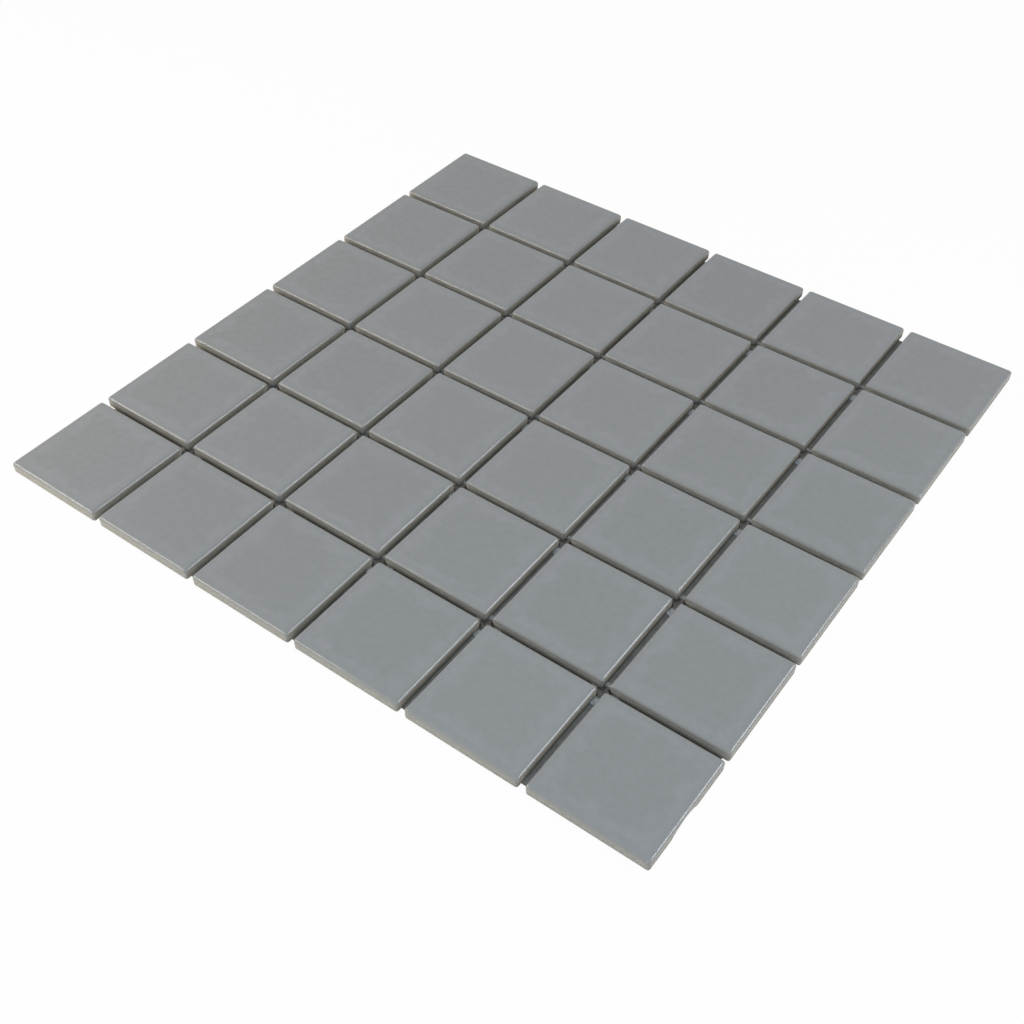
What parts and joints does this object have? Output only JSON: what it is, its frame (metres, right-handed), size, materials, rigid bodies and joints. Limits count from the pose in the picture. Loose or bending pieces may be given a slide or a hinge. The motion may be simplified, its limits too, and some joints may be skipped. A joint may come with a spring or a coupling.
{
  "type": "porcelain mosaic tile sheet",
  "caption": "Square sheet of small glazed porcelain mosaic tiles with open joints, held together on the back by clear glue dots, for bedding in adhesive on a wall or floor.",
  "frame": {"origin": "middle of the sheet, on the surface that it lies on", "axes": "+Z out of the tiles' faces, +X along a row, +Y from row to row"},
  "size_m": [0.3032, 0.3032, 0.0057],
  "materials": {
    "porcelain": "satin grey glaze on the face, bare buff body on the sides and back",
    "glue": "clear soft plastic glue with a wet gloss"
  },
  "bodies": {
    "root": {"tile_row1_col1": "porcelain", "tile_row1_col2": "porcelain", "tile_row1_col3": "porcelain", "tile_row1_col4": "porcelain", "tile_row1_col5": "porcelain", "tile_row1_col6": "porcelain", "tile_row2_col1": "porcelain", "tile_row2_col2": "porcelain", "tile_row2_col3": "porcelain", "tile_row2_col4": "porcelain", "tile_row2_col5": "porcelain", "tile_row2_col6": "porcelain", "tile_row3_col1": "porcelain", "tile_row3_col2": "porcelain", "tile_row3_col3": "porcelain", "tile_row3_col4": "porcelain", "tile_row3_col5": "porcelain", "tile_row3_col6": "porcelain", "tile_row4_col1": "porcelain", "tile_row4_col2": "porcelain", "tile_row4_col3": "porcelain", "tile_row4_col4": "porcelain", "tile_row4_col5": "porcelain", "tile_row4_col6": "porcelain", "tile_row5_col1": "porcelain", "tile_row5_col2": "porcelain", "tile_row5_col3": "porcelain", "tile_row5_col4": "porcelain", "tile_row5_col5": "porcelain", "tile_row5_col6": "porcelain", "tile_row6_col1": "porcelain", "tile_row6_col2": "porcelain", "tile_row6_col3": "porcelain", "tile_row6_col4": "porcelain", "tile_row6_col5": "porcelain", "tile_row6_col6": "porcelain", "glue_dots_line1": "glue", "glue_dots_line2": "glue", "glue_dots_line3": "glue", "glue_dots_line4": "glue", "glue_dots_line5": "glue"}
  },
  "joints": []
}
